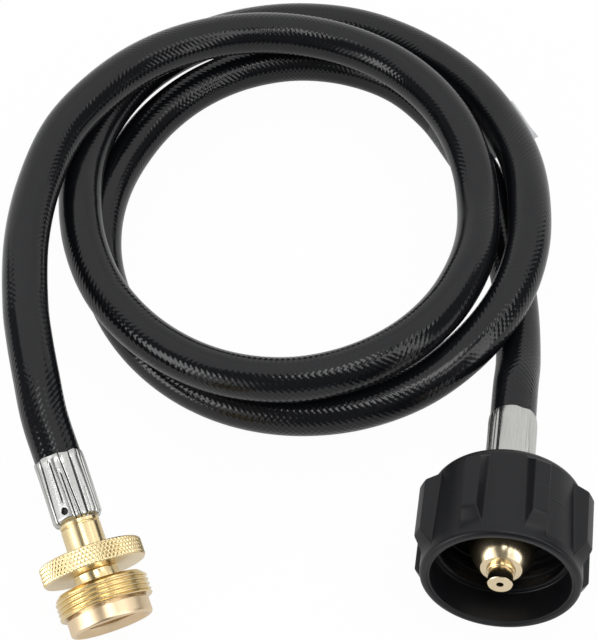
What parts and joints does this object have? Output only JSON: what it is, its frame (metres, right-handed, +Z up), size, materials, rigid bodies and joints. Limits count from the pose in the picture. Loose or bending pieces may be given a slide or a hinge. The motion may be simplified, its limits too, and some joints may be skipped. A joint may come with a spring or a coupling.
{
  "type": "propane regulator hose",
  "caption": "Coiled rubber gas hose with crimped ends, a lugged hand-wheel nut over a brass nipple at one end and a knurled, threaded brass connector at the other.",
  "frame": {"origin": "on the surface it lies on, midway between the two fittings' outer limits", "axes": "+Z up, -Y the way both fittings point, +X from the brass connector towards the hand-wheel nut"},
  "size_m": [0.161, 0.2216, 0.0486],
  "materials": {
    "hose_rubber": "semi-gloss extruded cover with the braid showing through",
    "label_film": "clear film",
    "ferrule_plating": "bright nickel plate, crimped",
    "brass": "turned and polished",
    "seal_rubber": "matte",
    "pin_steel": "turned",
    "spring_steel": "drawn wire",
    "bushing_plastic": "moulded",
    "nut_plastic": "satin moulded"
  },
  "bodies": {
    "hose_assembly": {"hose_lead_connector": "hose_rubber", "hose_coil": "hose_rubber", "hose_lead_tank": "hose_rubber", "hose_tail_connector": "hose_rubber", "hose_tail_tank": "hose_rubber", "label_wrap": "label_film", "connector_ferrule": "ferrule_plating", "connector_stem": "brass", "connector_body": "brass", "nose_collar": "brass", "valve_cage": "brass", "valve_seal": "seal_rubber", "valve_spring": "spring_steel", "tank_ferrule": "ferrule_plating", "tank_nipple": "brass", "nipple_tip": "brass", "flow_spring": "spring_steel", "nut_clip": "spring_steel"},
    "hand_wheel": {"tank_nut": "nut_plastic", "nut_bushing": "bushing_plastic"},
    "limiter": {"flow_plunger": "brass"},
    "check_valve": {"valve_pin": "pin_steel"}
  },
  "joints": [
    {"name": "nut_turn", "type": "hinge", "parent": "hose_assembly", "child": "hand_wheel", "pos_m": [0.05171, 0.00242, 0.02229], "axis": [-0.14, -0.9713, 0.1925], "continuous": true},
    {"name": "limiter_slide", "type": "slide", "parent": "hose_assembly", "child": "limiter", "axis": [0.14, 0.9713, -0.1925], "range_m": [0, 0.0023], "stiffness_N_per_m": 150, "springref_m": -0.004, "deforming": ["flow_spring"]},
    {"name": "valve_slide", "type": "slide", "parent": "hose_assembly", "child": "check_valve", "axis": [-0.3383, 0.9048, 0.2588], "range_m": [0, 0.0015], "stiffness_N_per_m": 60, "springref_m": -0.004, "deforming": ["valve_spring"]}
  ]
}
